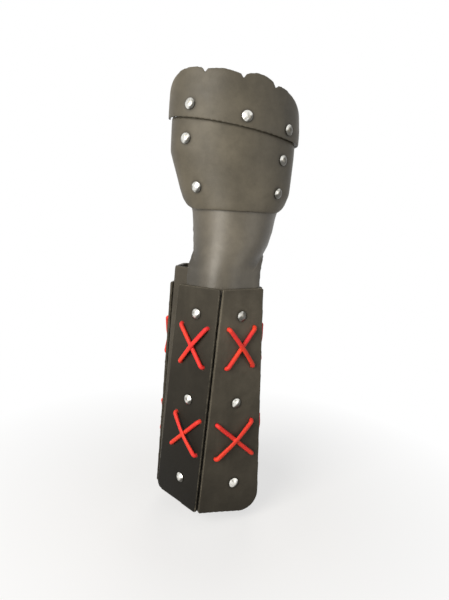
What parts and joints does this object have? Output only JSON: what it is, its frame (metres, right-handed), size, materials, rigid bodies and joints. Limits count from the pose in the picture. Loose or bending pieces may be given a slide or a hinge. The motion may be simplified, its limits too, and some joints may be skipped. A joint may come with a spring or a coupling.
{
  "type": "forearm gauntlet",
  "caption": "Leather gauntlet for the right forearm and the back of the hand: riveted splints with crossed red laces, a wrist guard, and hinged hand and knuckle plates.",
  "frame": {"origin": "centre of the elbow opening of the forearm tube, in the plane of its lower edge", "axes": "+Z along the forearm to the fingers, -Y out of the back of the hand, -X to the thumb side"},
  "size_m": [0.118, 0.1027, 0.3921],
  "materials": {
    "base_leather": "thick vegetable-tanned leather, dyed dark grey-brown, raw light edge",
    "splint_leather": "hard flat leather, near black brown, satin, burnished edges",
    "guard_leather": "thinner supple leather, grey-brown, satin",
    "plate_leather": "formed leather, grey-brown, satin, smooth grain",
    "strap_leather": "strap leather, dark brown, satin",
    "lace": "round lace, bright red, slightly waxy",
    "rivet_nickel": "domed cap rivets, polished nickel",
    "buckle_steel": "bent wire, nickel plated"
  },
  "bodies": {
    "forearm": {"forearm_base": "base_leather", "left_side_splint": "splint_leather", "left_front_splint": "splint_leather", "right_front_splint": "splint_leather", "right_side_splint": "splint_leather", "left_side_laces": "lace", "left_front_laces": "lace", "right_front_laces": "lace", "right_side_laces": "lace", "splint_rivets": "rivet_nickel", "lower_strap": "strap_leather", "lower_buckle_chape": "strap_leather", "lower_buckle_frame": "buckle_steel", "lower_keeper": "strap_leather", "upper_strap": "strap_leather", "upper_buckle_chape": "strap_leather", "upper_buckle_frame": "buckle_steel", "upper_keeper": "strap_leather", "strap_rivets": "rivet_nickel"},
    "hand": {"wrist_guard": "guard_leather", "hand_plate": "plate_leather", "hand_plate_rivets": "rivet_nickel", "palm_strap": "strap_leather"},
    "knuckle": {"knuckle_plate": "plate_leather", "knuckle_plate_rivets": "rivet_nickel", "knuckle_hinge_leather": "guard_leather", "finger_strap": "strap_leather"},
    "lower_tongue": {"lower_buckle_tongue": "buckle_steel"},
    "upper_tongue": {"upper_buckle_tongue": "buckle_steel"}
  },
  "joints": [
    {"name": "wrist_flex", "type": "hinge", "parent": "forearm", "child": "hand", "pos_m": [0.006, -0.019, 0.24], "axis": [-1, 0, 0], "range_deg": [-20, 35], "stiffness_Nm_per_rad": 4, "deforming": ["wrist_guard"]},
    {"name": "knuckle_flex", "type": "hinge", "parent": "hand", "child": "knuckle", "pos_m": [0, -0.0362, 0.354], "axis": [-0.9903, -0.1392, 0], "range_deg": [0, 12], "stiffness_Nm_per_rad": 1.2, "springref_deg": -3.44, "deforming": ["knuckle_hinge_leather"]},
    {"name": "lower_tongue_lift", "type": "hinge", "parent": "forearm", "child": "lower_tongue", "pos_m": [-0.01313, 0.04329, 0.05215], "axis": [0.0078, -0.0381, 0.9992], "range_deg": [0, 8]},
    {"name": "upper_tongue_lift", "type": "hinge", "parent": "forearm", "child": "upper_tongue", "pos_m": [-0.01733, 0.03749, 0.16013], "axis": [0.0106, -0.0314, 0.9995], "range_deg": [0, 8]}
  ]
}
